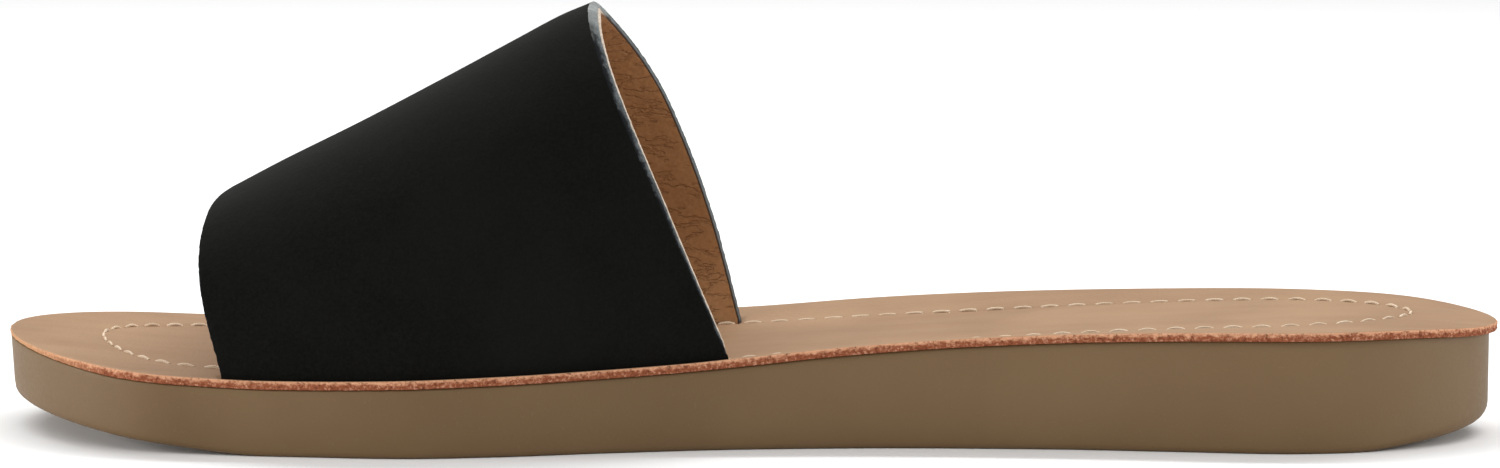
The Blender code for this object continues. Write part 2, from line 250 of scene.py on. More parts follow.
# The strap's sections: where the ridge lies across, and how square each half is (2 is an ellipse)
SECTIONS = table(
    "along ridge inner_square outer_square",
    (0.15, 0.47, 2.9, 2.7),
    (0.30, 0.45, 2.5, 2.3),
    (0.42, 0.43, 2.3, 2.1),
    (0.55, 0.43, 2.2, 2.0),
)

# How far the stitches lie in from the insole's edge
STITCH_LINE = table(
    "along inset",
    (0.00, 16.0 * MM),
    (0.06, 14.6 * MM),
    (0.18, 12.2 * MM),
    (0.30, 12.0 * MM),
    (0.80, 12.0 * MM),
    (0.92, 13.0 * MM),
    (1.00, 14.6 * MM),
)

# Creases: where each lies on the strap, as shares of its girth and of its length from
# the front edge, how far it runs, how much it turns from the girth's direction, its width and depth.
# Lengths are in millimetres
CREASE_COLUMNS = "girth place run turn width depth"
STRAP_CREASES = table(
    CREASE_COLUMNS,
    (0.07, 0.30, 16, 8, 7, 0.22),
    (0.06, 0.72, 18, -10, 8, 0.26),
    (0.20, 0.94, 30, -4, 6, -0.25),
    (0.30, 0.16, 26, 5, 9, -0.16),
    (0.70, 0.20, 24, -6, 9, 0.18),
    (0.84, 0.45, 22, 8, 8, 0.20),
)
LINING_CREASES = table(
    CREASE_COLUMNS,
    (0.70, 0.93, 14, 6, 0.8, 0.10),
    (0.76, 0.86, 17, -5, 0.9, 0.12),
    (0.66, 0.80, 15, 9, 0.8, 0.10),
    (0.83, 0.91, 12, -12, 0.8, 0.11),
    (0.88, 0.82, 15, 7, 1.0, 0.13),
    (0.94, 0.92, 9, -6, 0.8, 0.12),
    (0.60, 0.90, 15, 4, 0.9, 0.10),
    (0.91, 0.70, 12, 10, 0.9, 0.12),
    (0.78, 0.64, 20, -3, 1.0, 0.12),
    (0.50, 0.84, 18, 5, 1.0, 0.11),
    (0.30, 0.80, 18, -6, 1.0, 0.11),
    (0.12, 0.85, 12, 8, 0.9, 0.12),
    (0.20, 0.60, 18, -4, 1.0, 0.12),
    (0.40, 0.40, 22, 3, 1.1, 0.12),
    (0.65, 0.35, 20, -5, 1.1, 0.12),
)

# The camera, a metre away. Angles are in degrees, and the lens and sensor in millimetres
FOCAL_LENGTH = 140.4
SENSOR_WIDTH = 36.0
CAMERA_AZIMUTH = 4.0
CAMERA_DIP = 6.4
CAMERA_HEIGHT = 144.9 * MM
CAMERA_SHIFT = 1.5 * MM
CLIP_END = 50.0

# The studio: large soft lights that face the sandal, and a white room
FLOOR_SIZE = 8.0
ROOM_LIGHT = 0.36
SOFTBOXES = table(
    "name place width depth watts",
    ("key", (0.00, 0.55, 1.25), 2.40, 0.22, 20.5),
    ("front", (-0.10, -1.10, 0.90), 1.60, 0.60, 6.5),
    ("left", (-1.30, -0.35, 0.28), 0.80, 0.45, 12.5),
    ("right", (1.30, -0.10, 0.35), 0.80, 0.50, 7.0),
)


def smooth(rows, along, *columns):
    """A column of a table, or a product of columns, between its rows, on a curve that never overshoots."""
    places = [row.along for row in rows]
    levels = [math.prod(getattr(row, column) for column in columns) for row in rows]
    along = min(max(along, places[0]), places[-1])
    i = max(k for k in range(len(rows) - 1) if places[k] <= along)

    def slope(k):
        low, high = max(k - 1, 0), min(k + 1, len(rows) - 1)
        rise_before, rise_after = levels[k] - levels[low], levels[high] - levels[k]
        if low < k < high and rise_before * rise_after <= 0:
            return 0.0
        return (levels[high] - levels[low]) / (places[high] - places[low])

    span = places[i + 1] - places[i]
    t = (along - places[i]) / span
    return (
        levels[i] * (1 + 2 * t) * (1 - t) ** 2
        + levels[i + 1] * t * t * (3 - 2 * t)
        + span * t * (1 - t) * (slope(i) * (1 - t) - slope(i + 1) * t)
    )


def along_of(x):
    """The share of the insole's length, from the toe, of a place on the X axis."""
    return x / INSOLE_LENGTH + 0.5


def x_of(along):
    return (along - 0.5) * INSOLE_LENGTH


def blend(start, end, share):
    return start + (end - start) * share


def eased(t):
    """From 0 to 1 with level ends."""
    t = min(max(t, 0.0), 1.0)
    return t * t * (3 - 2 * t)


def quarter_turn(steps):
    """The angles of a quarter turn."""
    return [QUARTER * i / steps for i in range(steps + 1)]


def round_end(distance, depth):
    """How much of its full width an end that is half an ellipse has, this far from its tip."""
    if distance >= depth:
        return 1.0
    return math.sqrt(max(0.0, 1 - (1 - distance / depth) ** 2))


def half_widths(along):
    """(inner, outer) distance of the insole's edge from the centre line."""
    heel = round_end((1 - along) * INSOLE_LENGTH, HEEL_ROUND)
    return tuple(
        smooth(OUTLINE, along, "width", side) * (round_end(along * INSOLE_LENGTH, toe) * heel)
        for side, toe in (("inner", TOE_ROUND_INNER), ("outer", TOE_ROUND_OUTER))
    )


def edge_height(x):
    """The insole's top edge above the floor."""
    along = along_of(x)
    climb = smooth(PROFILE, along, "climb")
    toe = smooth(PROFILE, along, "toe_top")
    return blend(BALL_HEIGHT, HEEL_HEIGHT, climb) + TOE_RISE * toe


def footbed_height(x, inset):
    """The insole's top, this far in from its edge."""
    depth = CUP_DEPTH * smooth(PROFILE, along_of(x), "cup")
    return edge_height(x) - depth * eased(inset / CUP_REACH)


def footbed_wave(x, y):
    """The leather's slight unevenness."""
    return FOOTBED_WAVE * noise.noise(Vector((x, y, 0.0)) * FOOTBED_WAVE_SCALE)


def ground_height(x):
    """The sole's underside: flat on the floor, and sprung at the toe and the heel."""
    along = along_of(x)
    toe = smooth(PROFILE, along, "toe_bottom")
    tail = smooth(PROFILE, along, "tail")
    return TOE_SPRING * toe + HEEL_SPRING * tail


def setback(x):
    """How far the sole's wall stands in from the insole's edge."""
    return blend(SOLE_SETBACK_TOE, SOLE_SETBACK_HEEL, along_of(x))


def draft(x):
    """How much further in the wall's bottom stands than its top."""
    return blend(WALL_DRAFT_TOE, WALL_DRAFT_HEEL, along_of(x))


def bottom_round(x):
    """The rounding of the sole's bottom edge, which is larger at the heel."""
    tail = smooth(PROFILE, along_of(x), "tail")
    return blend(SOLE_BOTTOM_ROUND, HEEL_BOTTOM_ROUND, min(tail, 1.0))


def sheet(x):
    """The insole's thickness, which is pared down at the toe."""
    return INSOLE_THICKNESS * blend(PARED_SHARE, 1, eased(along_of(x) / PARED_ALONG))


def stations():
    """Shares of the length from toe to heel, closer together round the two ends."""
    toe = max(TOE_ROUND_INNER, TOE_ROUND_OUTER) / INSOLE_LENGTH
    heel = HEEL_ROUND / INSOLE_LENGTH
    middle = 1 - toe - heel
    places = [toe * (1 - math.cos(QUARTER * i / TOE_STEPS)) for i in range(TOE_STEPS)]
    places += [toe + middle * i / MIDDLE_STEPS for i in range(MIDDLE_STEPS)]
    places += [1 - heel * (1 - math.sin(QUARTER * i / HEEL_STEPS)) for i in range(HEEL_STEPS + 1)]
    return places


def outline_loop():
    """The insole's outline in plan: the toe's tip, the inner side, the heel's tip, the outer side."""
    inner_side, outer_side = [], []
    for along in stations():
        inner, outer = half_widths(along)
        inner_side.append((x_of(along), -inner))
        outer_side.append((x_of(along), outer))
    return inner_side + outer_side[-2:0:-1]


def inset_loop(loop, distances):
    """The loop moved inwards by a distance at each point."""
    moved = []
    for i, (x, y) in enumerate(loop):
        before, after = loop[i - 1], loop[(i + 1) % len(loop)]
        dx, dy = after[0] - before[0], after[1] - before[1]
        length = math.hypot(dx, dy)
        moved.append((x - dy / length * distances[i], y + dx / length * distances[i]))
    return moved


def foot_inset(side):
    """How far the strap's outer face stands in from the insole's edge. The inner side is -1."""
    return STRAP_INNER_INSET if side < 0 else STRAP_OUTER_INSET


def foot_y(x, side):
    """Where the strap's outer face meets the insole."""
    return side * (half_widths(along_of(x))[side > 0] - foot_inset(side))


def strap_edges(share):
    """(front, back) of the strap on the X axis, at this share of its girth."""
    return tuple(x_of(smooth(STRAP_EDGES, share, edge)) for edge in ("front", "back"))


def in_foot(x, side, margin):
    """Whether a place on the X axis lies between the strap's edges at a foot."""
    front, back = strap_edges(0.0 if side < 0 else 1.0)
    return front - margin <= x <= back + margin


def ridge_height(x):
    """The strap's top line, which climbs from the front edge to the back one."""
    climb = smooth(TOP_LINE, along_of(x), "climb")
    return blend(STRAP_FRONT_HEIGHT, STRAP_BACK_HEIGHT, climb)


def arch(x):
    """The strap's outer face across the foot at x, as arrays of y and z from the inner foot on."""
    along = along_of(x)
    inner, outer = foot_y(x, -1), foot_y(x, 1)
    ridge = blend(inner, outer, smooth(SECTIONS, along, "ridge"))
    top = ridge_height(x)
    angle = np.linspace(0.0, QUARTER, ARCH_STEPS)
    halves = []
    for foot, square, side in (
        (inner, smooth(SECTIONS, along, "inner_square"), -1),
        (outer, smooth(SECTIONS, along, "outer_square"), 1),
    ):
        low = footbed_height(x, foot_inset(side))
        reach = np.maximum(np.cos(angle), 0.0) ** (2 / square)
        rise = np.sin(angle) ** (2 / square)
        halves.append((blend(ridge, foot, reach), blend(low, top, rise)))
    (y_inner, z_inner), (y_outer, z_outer) = halves
    return np.append(y_inner, y_outer[-2::-1]), np.append(z_inner, z_outer[-2::-1])


def tuck(x, side):
    """The strap's outer face below the insole's top, as (y, z) from the tucked end upwards."""
    drop = INSOLE_THICKNESS + GAP + STRAP_THICKNESS
    bend = STRAP_THICKNESS + TUCK_BEND
    path = [(TUCK_LENGTH, 0.0), ((TUCK_LENGTH + bend) / 2, 0.0)]
    for angle in quarter_turn(BEND_STEPS):
        path.append((bend * (1 - math.sin(angle)), bend * (1 - math.cos(angle))))
    points = []
    for inward, rise in path:
        z = footbed_height(x, foot_inset(side) + inward) - drop + rise
        points.append((foot_y(x, side) - side * inward, z))
    return points


def unit(vectors):
    return vectors / np.linalg.norm(vectors, axis=-1, keepdims=True)


def strap_surface():
    """The strap's outer face as a grid of points, from the inner tucked end to the outer one."""
    shares = np.linspace(0.0, 1.0, STRAP_ROWS + 1)
    steps = np.linspace(0.0, 1.0, STRAP_COLUMNS + 1)
    edges = [strap_edges(share) for share in shares]
    places = np.linspace(min(e[0] for e in edges), max(e[1] for e in edges), ARCH_PLACES)
    ys, zs = [], []
    for x in places:
        y, z = arch(x)
        girth = np.append(0.0, np.cumsum(np.hypot(np.diff(y), np.diff(z))))
        ys.append(np.interp(shares, girth / girth[-1], y))
        zs.append(np.interp(shares, girth / girth[-1], z))
    ys, zs = np.array(ys), np.array(zs)
    across = []
    for j, (front, back) in enumerate(edges):
        x = blend(front, back, steps)
        across.append(np.stack([x, np.interp(x, places, ys[:, j]), np.interp(x, places, zs[:, j])], -1))

    def tucked(side, edge):
        x = blend(*edge, steps)
        columns = [[(place, y, z) for y, z in tuck(place, side)] for place in x]
        return [np.array(row) for row in zip(*columns)]

    return np.array(tucked(-1, edges[0]) + across + tucked(1, edges[-1])[::-1])


def outward(surface):
    """The surface's unit normals, away from the foot."""
    across = np.gradient(surface, axis=0)
    ahead = np.gradient(surface, axis=1)
    return unit(np.cross(ahead, across))


def crease_relief(surface, creases):
    """How far the creases lift or sink each point of the strap's surface."""
    girth = np.cumsum(np.linalg.norm(np.diff(surface, axis=0, prepend=surface[:1]), axis=-1), axis=0)
    run = np.cumsum(np.linalg.norm(np.diff(surface, axis=1, prepend=surface[:, :1]), axis=-1), axis=1)
    relief = np.zeros(surface.shape[:2])
    for crease in creases:
        turn = math.radians(crease.turn)
        du = girth - girth[-1] * crease.girth
        dv = run - run[:, -1:] * crease.place
        length = du * math.cos(turn) + dv * math.sin(turn)
        width = dv * math.cos(turn) - du * math.sin(turn)
        spread = (length / (crease.run * MM)) ** 2 + (width / (crease.width * MM)) ** 2
        relief -= crease.depth * MM * np.exp(-spread)
    return relief


def placed(name, data):
    """A new object in the scene."""
    made = bpy.data.objects.new(name, data)
    bpy.context.scene.collection.objects.link(made)
    return made


def make_object(name, points, faces, materials, face_materials, depths=None):
    """A mesh piece with its faces turned outwards and shaded smooth.

    Depths, where given, say how far down in its sheet each point lies, for the material to read.
    """
    mesh = bpy.data.meshes.new(name)
    mesh.from_pydata([tuple(point) for point in points], [], faces)
    for material in materials:
        mesh.materials.append(material)
    mesh.polygons.foreach_set("material_index", face_materials)
    if depths:
        mesh.attributes.new("depth", "FLOAT", "POINT").data.foreach_set("value", depths)
    working = bmesh.new()
    working.from_mesh(mesh)
    bmesh.ops.recalc_face_normals(working, faces=working.faces)
    working.to_mesh(mesh)
    working.free()
    mesh.shade_smooth()
    return placed(name, mesh)


def rim_profile(thickness):
    """The rounded cut edge of one layer, as (outwards, depth) from its outer face to its inner one."""
    corner = []
    for angle in quarter_turn(RIM_STEPS):
        corner.append((CUT_ROUND * (math.sin(angle) - 1), CUT_ROUND * (1 - math.cos(angle))))
    middle = [(0.0, thickness * 0.5)]
    return corner + middle + [(out, thickness - depth) for out, depth in reversed(corner)]


def slant_share(row, column, rows, columns):
    """How much of a slant the cut edge has: none in the slots or on the outer side."""
    if column not in (0, columns - 1):
        return 0.0
    girth = row / rows
    near_side = eased((girth - SLANT_START) / SLANT_RISE) * eased((SLANT_END - girth) / SLANT_FALL)
    return near_side * (FRONT_SLANT_SHARE if column == 0 else 1.0)


def widening(girth):
    """The cut edge's slant is narrow at the foot and at its full width over the instep."""
    return blend(FOOT_SLANT_SHARE, 1, eased(girth / SLANT_GIRTH))


def make_layer(layer, surface, normals, relief, materials):
    """One layer of the strap: a closed wall whose cut edge is slanted, rounded and a little rough.

    A layer starts at a depth below the strap's outer face. Its outer face reaches out so far at the
    cut edge, and its inner face further by the slant and the lip. Relief moves the two faces.
    """
    rows, columns = surface.shape[:2]
    front_relief, back_relief = relief
    outside = surface - normals * (layer.start - front_relief)[..., None]
    inside = surface - normals * (layer.start + layer.thickness - back_relief)[..., None]
    rim = [(0, k) for k in range(columns)]
    rim += [(j, columns - 1) for j in range(1, rows)]
    rim += [(rows - 1, k) for k in range(columns - 2, -1, -1)]
    rim += [(j, 0) for j in range(rows - 2, 0, -1)]
    levels = []
    for out, depth in rim_profile(layer.thickness):
        share = depth / layer.thickness
        level = []
        for j, k in rim:
            inner_j = min(max(j, 1), rows - 2)
            inner_k = min(max(k, 1), columns - 2)
            away = unit(surface[j, k] - surface[inner_j, inner_k])
            base = outside[j, k] * (1 - share) + inside[j, k] * share
            rough = layer.fuzz * noise.noise(Vector(base) * FUZZ_SCALE)
            slanted = (layer.reach + layer.slant * share) * widening(j / rows) + layer.lip * share
            slanted *= slant_share(j, k, rows, columns)
            level.append(base + away * (out + rough + slanted))
        levels.append(level)
    size = rows * columns
    points = list(outside.reshape(-1, 3)) + list(inside.reshape(-1, 3))
    depths = [0.0] * size + [1.0] * size
    rims = [[j * columns + k for j, k in rim]]
    for level, (_, depth) in zip(levels[1:-1], rim_profile(layer.thickness)[1:-1]):
        rims.append(range(len(points), len(points) + len(rim)))
        points += level
        depths += [depth / layer.thickness] * len(rim)
    rims.append([size + i for i in rims[0]])
    for i, point in zip(rims[0] + rims[-1], levels[0] + levels[-1]):
        points[i] = point
    faces, kinds = [], []
    for j in range(rows - 1):
        for k in range(columns - 1):
            a, b = j * columns + k, (j + 1) * columns + k
            faces.append((a, a + 1, b + 1, b))
            faces.append((size + a, size + b, size + b + 1, size + a + 1))
            kinds += [0, 1]
    for upper, lower in zip(rims, rims[1:]):
        faces += [(upper[i], upper[i - 1], lower[i - 1], lower[i]) for i in range(len(rim))]
        kinds += [2] * len(rim)
    return make_object(layer.name, points, faces, materials, kinds, depths)


def make_strap(nubuck, cut_edge, lining_leather, lining_edge):
    """The strap's outer leather and its lining, glued back to back."""
    surface = strap_surface()
    normals = outward(surface)
    body = crease_relief(surface, STRAP_CREASES)
    wrinkles = body - crease_relief(surface, LINING_CREASES)
    start = OUTER_LAYER + GLUE_LINE
    reach = OUTER_SLANT - FACE_SETBACK
    layer = namedtuple("Layer", "name start thickness reach slant lip fuzz")
    outer = layer("strap_outer", 0.0, OUTER_LAYER, -FACE_SETBACK, OUTER_SLANT, 0.0, OUTER_FUZZ)
    lining = layer("strap_lining", start, STRAP_THICKNESS - start, reach, 0.0, LINING_LIP, LINING_FUZZ)
    return (
        make_layer(outer, surface, normals, (body, body), [nubuck, cut_edge, cut_edge]),
        make_layer(lining, surface, normals, (body, wrinkles), [lining_edge, lining_leather, lining_edge]),
    )


def stitch_inset(along):
    return smooth(STITCH_LINE, along, "inset")


def stitch_path(edge):
    """The stitch line on the insole, one point for each point of the outline."""
    insets = [stitch_inset(along_of(x)) for x, _ in edge]
    line = inset_loop(edge, insets)
    return [(x, y, footbed_height(x, inset)) for (x, y), inset in zip(line, insets)]


def stitch_places(path):
    """How far along the closed stitch line each of its points lies, and the line's length."""
    places, total = [], 0.0
    for i, point in enumerate(path):
        places.append(total)
        total += math.dist(point, path[(i + 1) % len(path)])
    return places, total


def join_rings(faces, face_kinds, kinds, count, open_spans):
    """Faces between each ring and the next, apart from the spans that are left open."""
    for ring, kind in enumerate(kinds[1:]):
        start, stop = open_spans.get(ring, (count, count))
        low, high = ring * count, (ring + 1) * count
        for i in range(count):
            j = (i + 1) % count
            if not start <= i < stop:
                faces.append((low + i, low + j, high + j, high + i))
                face_kinds.append(kind)


def make_insole(leather, raw_edge, flesh_side):
    """The insole: a dished sheet with a raw edge, slots for the strap and a sunk stitch line."""
    edge = outline_loop()
    count = len(edge)
    alongs = [along_of(x) for x, _ in edge]
    places, total = stitch_places(stitch_path(edge))
    pitch = total / round(total / STITCH_PITCH)

    def sunk(i, off):
        """How deep the stitches draw the leather in, this far across from their line."""
        trough = STITCH_TROUGH * math.exp(-((off / TROUGH_WIDTH) ** 2))
        step = (places[i] + pitch / 2) % pitch - pitch / 2
        to_hole = math.hypot(abs(step) - STITCH_LENGTH / 2, off)
        return trough + STITCH_HOLE * math.exp(-((to_hole / HOLE_WIDTH) ** 2))

    def lip(x, inset, i):
        """How deep the strap presses the leather beside its slot."""
        side = -1 if i <= count // 2 else 1
        if not in_foot(x, side, GAP):
            return 0.0
        nearest = abs(inset - foot_inset(side) - STRAP_THICKNESS / 2) - STRAP_THICKNESS / 2
        return SLOT_PRESS * math.exp(-((max(nearest, 0.0) / SLOT_PRESS_REACH) ** 2))

    def top_ring(insets):
        points = []
        for i, (x, y) in enumerate(inset_loop(edge, insets)):
            z = footbed_height(x, insets[i]) + footbed_wave(x, y) * eased(insets[i] / CUP_REACH)
            z -= sunk(i, insets[i] - stitch_inset(alongs[i])) + lip(x, insets[i], i)
            points.append(Vector((x, y, z)))
        return points

    def lower_ring(inset, down, fuzz=0.0):
        """A ring so far down in the sheet: 0 is its top and 1 its underside."""
        points = []
        inside = inset_loop(edge, even(inset + PROBE))
        for (x, y), within in zip(inset_loop(edge, even(inset)), inside):
            point = Vector((x, y, footbed_height(x, inset) - sheet(x) * down))
            away = Vector((x - within[0], y - within[1], 0.0)).normalized()
            lump = EDGE_LUMP_SHARE * noise.noise(point * FUZZ_SCALE * EDGE_LUMP_SCALE)
            points.append(point + away * fuzz * (noise.noise(point * FUZZ_SCALE) + lump))
        return points

    def even(inset):
        return [inset] * count

    inner_slot = [STRAP_INNER_INSET - GAP, STRAP_INNER_INSET + STRAP_THICKNESS + GAP]
    outer_slot = [STRAP_OUTER_INSET - GAP, STRAP_OUTER_INSET + STRAP_THICKNESS + GAP]
    rings, kinds, depths = [], [], []

    def level(points, kind, down=0.0):
        rings.append(points)
        kinds.append(kind)
        depths.extend([down] * count)

    for inset in reversed(inner_slot + outer_slot):
        level(lower_ring(inset, 1.0), FLESH, 1.0)
    level(lower_ring(UNDERSIDE_INSET, 1.0, EDGE_FUZZ), RAW, 1.0)
    top_edge = INSOLE_EDGE_ROUND / INSOLE_THICKNESS
    for share in EDGE_LEVELS:
        down = 1 - (1 - top_edge) * share
        level(lower_ring(0.0, down, EDGE_FUZZ), RAW, down)
    bevel = lower_ring(INSOLE_EDGE_ROUND * BEVEL_SHARE, top_edge * BEVEL_SHARE, EDGE_FUZZ * BEVEL_FUZZ_SHARE)
    level(bevel, RAW)
    insets = [INSOLE_EDGE_ROUND, FIRST_TOP_INSET, *inner_slot, BETWEEN_SLOTS, *outer_slot]
    inner_ring, outer_ring = (len(rings) + insets.index(slot[0]) for slot in (inner_slot, outer_slot))
    for inset in insets:
        level(top_ring(even(inset)), GRAIN)
    for off in STITCH_OFFSETS:
        level(top_ring([stitch_inset(along) + off * MM for along in alongs]), GRAIN)

    points = [point for loop in rings for point in loop]
    faces, face_kinds = [], []

    def slot_span(side, inset):
        """The outline points between which a foot's slot lies, at this inset."""
        loop = inset_loop(edge, even(inset))
        half = range(1, count // 2) if side < 0 else range(count // 2 + 1, count)
        inside = [i for i in half if in_foot(loop[i][0], side, 0.0)]
        return inside[0] - 1, inside[-1] + 1

    slots = {}
    for side, above, below in ((-1, inner_ring, 2), (1, outer_ring, 0)):
        low, high = slot_span(side, foot_inset(side) + STRAP_THICKNESS / 2)
        slots[above] = slots[below] = (low, high)
        outer_top, inner_top = above * count, (above + 1) * count
        inner_bottom, outer_bottom = below * count, (below + 1) * count
        for upper, lower in ((outer_top, outer_bottom), (inner_top, inner_bottom)):
            faces += [(upper + i, upper + i + 1, lower + i + 1, lower + i) for i in range(low, high)]
        faces += [(outer_top + i, inner_top + i, inner_bottom + i, outer_bottom + i) for i in (low, high)]
        face_kinds += [FLESH] * (2 * (high - low) + 2)
    join_rings(faces, face_kinds, kinds, count, slots)
    fill_middle(points, faces, face_kinds, 0, count, FLESH)

    def footbed(x, y):
        return footbed_height(x, CUP_REACH) + footbed_wave(x, y)

    fill_middle(points, faces, face_kinds, (len(rings) - 1) * count, count, GRAIN, ACROSS_STEPS, footbed)
    depths += [0.0] * (len(points) - len(depths))
    return make_object("stitched_insole", points, faces, [leather, raw_edge, flesh_side], face_kinds, depths)


def fill_middle(points, faces, kinds, first, count, kind, steps=1, height=None):
    """Fills a ring with rows across it, down to a triangle at its two ends.

    A height for each (x, y) makes the rows follow a surface.
    """
    half = count // 2
    rows = [[first] * (steps + 1)]
    for i in range(1, half):
        a, b = points[first + i], points[first + count - i]
        row = [first + i]
        for k in range(1, steps):
            x, y, z = (p + (q - p) * k / steps for p, q in zip(a, b))
            if height:
                z = height(x, y)
            row.append(len(points))
            points.append(Vector((x, y, z)))
        rows.append(row + [first + count - i])
    rows.append([first + half] * (steps + 1))
    for row, following in zip(rows, rows[1:]):
        for k in range(steps):
            quad = (row[k], row[k + 1], following[k + 1], following[k])
            faces.append(tuple(dict.fromkeys(quad)))
            kinds.append(kind)


def groove_depth(along, y_share):
    """How deep the tread is cut at this place of the sole: wavy bars under the ball and the heel."""
    x = along * INSOLE_LENGTH
    step = (x + GROOVE_PITCH / 2) % GROOVE_PITCH - GROOVE_PITCH / 2
    wall = GROOVE_WIDTH * GROOVE_WALL_SHARE
    across = min(max((GROOVE_WIDTH / 2 - abs(step)) / wall, 0.0), 1.0)
    zone = 0.0
    for start, end in TREAD_ZONES:
        zone = max(zone, eased((along - start) / TREAD_FADE) * eased((end - along) / TREAD_FADE))
    margin = eased((1 - abs(y_share)) / TREAD_MARGIN_SHARE)
    return GROOVE_DEPTH * across * zone * margin


def pocket_span(side):
    """How far in from the insole's edge the pocket for a tucked end starts and stops."""
    return foot_inset(side) - GAP, foot_inset(side) + TUCK_LENGTH + GAP


def make_sole(rubber):
    """The moulded sole: a plain wall, a rounded bottom edge, a pocket under each foot and a tread."""
    edge = outline_loop()
    count = len(edge)
    pocket_depth = STRAP_THICKNESS + 2 * GAP - SEAM

    def pocket(x, inset, side):
        low, high = pocket_span(side)
        within = low - TOUCH <= inset <= high + TOUCH
        return pocket_depth if within and in_foot(x, side, 2 * GAP) else 0.0

    def top_ring(inset):
        points = []
        insets = [max(inset, setback(x) + 1.5 * SOLE_TOP_ROUND) for x, _ in edge]
        for i, (x, y) in enumerate(inset_loop(edge, insets)):
            side = -1 if i <= count // 2 else 1
            top = footbed_height(x, insets[i]) - sheet(x) - SEAM
            points.append(Vector((x, y, top - pocket(x, inset, side))))
        return points

    def side_ring(height, inward, lift=0.0, tucked=0.0, raised=0.0):
        """A ring of the wall: height is 0 at the bottom edge and 1 at the top one.

        Tucked and raised are shares of the bottom edge's rounding.
        """
        insets = [setback(x) + draft(x) * (1 - height) + inward + bottom_round(x) * tucked for x, _ in edge]
        points = []
        for x, y in inset_loop(edge, insets):
            bottom = ground_height(x)
            top = footbed_height(x, setback(x)) - sheet(x) - SEAM
            lifted = lift + bottom_round(x) * raised
            points.append(Vector((x, y, blend(bottom, top, height) + lifted)))
        return points

    rings = [side_ring(0.0, CUP_REACH)]
    for angle in quarter_turn(ROUND_STEPS):
        rings.append(side_ring(0.0, 0.0, tucked=1 - math.sin(angle), raised=1 - math.cos(angle)))
    for height in WALL_LEVELS:
        rings.append(side_ring(height, 0.0))
    for angle in quarter_turn(RIM_STEPS):
        inward, lift = 1 - math.cos(angle), math.sin(angle) - 1
        rings.append(side_ring(1.0, SOLE_TOP_ROUND * inward, SOLE_TOP_ROUND * lift))
    pocket_edges = [edge_of for side in (-1, 1) for edge_of in pocket_span(side)]
    beside = [pocket_edges[1] + GAP, pocket_edges[2] - GAP, pocket_edges[3] + GAP]
    rings += [top_ring(inset) for inset in sorted(pocket_edges + beside)]
    points = [point for loop in rings for point in loop]
    faces, kinds = [], []
    join_rings(faces, kinds, [0] * len(rings), count, {})
    fill_middle(points, faces, kinds, (len(rings) - 1) * count, count, 0)
    tread = len(points)
    fill_middle(points, faces, kinds, 0, count, 0, ACROSS_STEPS)
    cut_tread(points[tread:])
    return make_object("moulded_sole", points, faces, [rubber], kinds)


def cut_tread(points):
    """Sinks the underside's grooves, whose lines wave from side to side."""
    for i, point in enumerate(points):
        share = 2 * (i % (ACROSS_STEPS - 1) + 1) / ACROSS_STEPS - 1
        along = along_of(point.x)
        fade = eased((along - WAVE_START) / WAVE_FADE) * eased((WAVE_END - along) / WAVE_FADE)
        fade *= eased((1 - abs(share)) / WAVE_MARGIN_SHARE)
        point.x += GROOVE_WAVE * math.sin(WAVES_ACROSS * math.pi * share) * fade
        point.z = ground_height(point.x) + groove_depth(along, share)


def fed(node, feed):
    """Gives a node's inputs their values, or links other nodes' outputs to them."""
    tree = node.id_data
    for key, value in feed.items():
        socket = node.inputs[key]
        if isinstance(value, bpy.types.NodeSocket):
            tree.links.new(value, socket)
        else:
            socket.default_value = value
    return node


def add(tree, kind, feed=None, **settings):
    node = tree.nodes.new(kind)
    for key, value in settings.items():
        setattr(node, key, value)
    return fed(node, feed or {})


def result(tree, kind, feed=None, output=0, **settings):
    """A new node's output."""
    return add(tree, kind, feed, **settings).outputs[output]


def made_of(paint, specular, roughness=0.5, sheen=0.0, sheen_roughness=0.5, sheen_tint=(1.0, 1.0, 1.0)):
    """A material with its shader's own values set. Paint gives the values that nodes work out."""
    material = bpy.data.materials.new(paint.__name__)
    material.use_nodes = True
    tree = material.node_tree
    values = {
        "Specular IOR Level": specular,
        "Roughness": roughness,
        "Sheen Weight": sheen,
        "Sheen Roughness": sheen_roughness,
        "Sheen Tint": (*sheen_tint, 1.0),
        **paint(tree, result(tree, "ShaderNodeTexCoord", output="Object")),
    }
    fed(tree.nodes["Principled BSDF"], values)
    return material


def noisy(tree, vector, scale, detail=2.0, roughness=0.5):
    feed = {"Vector": vector, "Scale": scale, "Detail": detail, "Roughness": roughness}
    return result(tree, "ShaderNodeTexNoise", feed, "Fac")


def cells(tree, vector, scale):
    feed = {"Vector": vector, "Scale": scale}
    return result(tree, "ShaderNodeTexVoronoi", feed, "Distance", feature="SMOOTH_F1")


def stretched(tree, vector, scale):
    """Coordinates drawn out, so that a pattern runs along the piece."""
    return result(tree, "ShaderNodeMapping", {"Vector": vector, "Scale": scale})


def axis(tree, vector, name):
    return result(tree, "ShaderNodeSeparateXYZ", {"Vector": vector}, name)


def attribute(tree, name):
    return result(tree, "ShaderNodeAttribute", output="Fac", attribute_name=name)


def between(tree, value, low, high, to_low=0.0, to_high=1.0):
    feed = {"Value": value, "From Min": low, "From Max": high, "To Min": to_low, "To Max": to_high}
    return result(tree, "ShaderNodeMapRange", feed, "Result")


def calculate(tree, operation, a, b=0.0):
    return result(tree, "ShaderNodeMath", {0: a, 1: b}, operation=operation)


def times(tree, a, b):
    return calculate(tree, "MULTIPLY", a, b)


def plus(tree, a, b):
    return calculate(tree, "ADD", a, b)


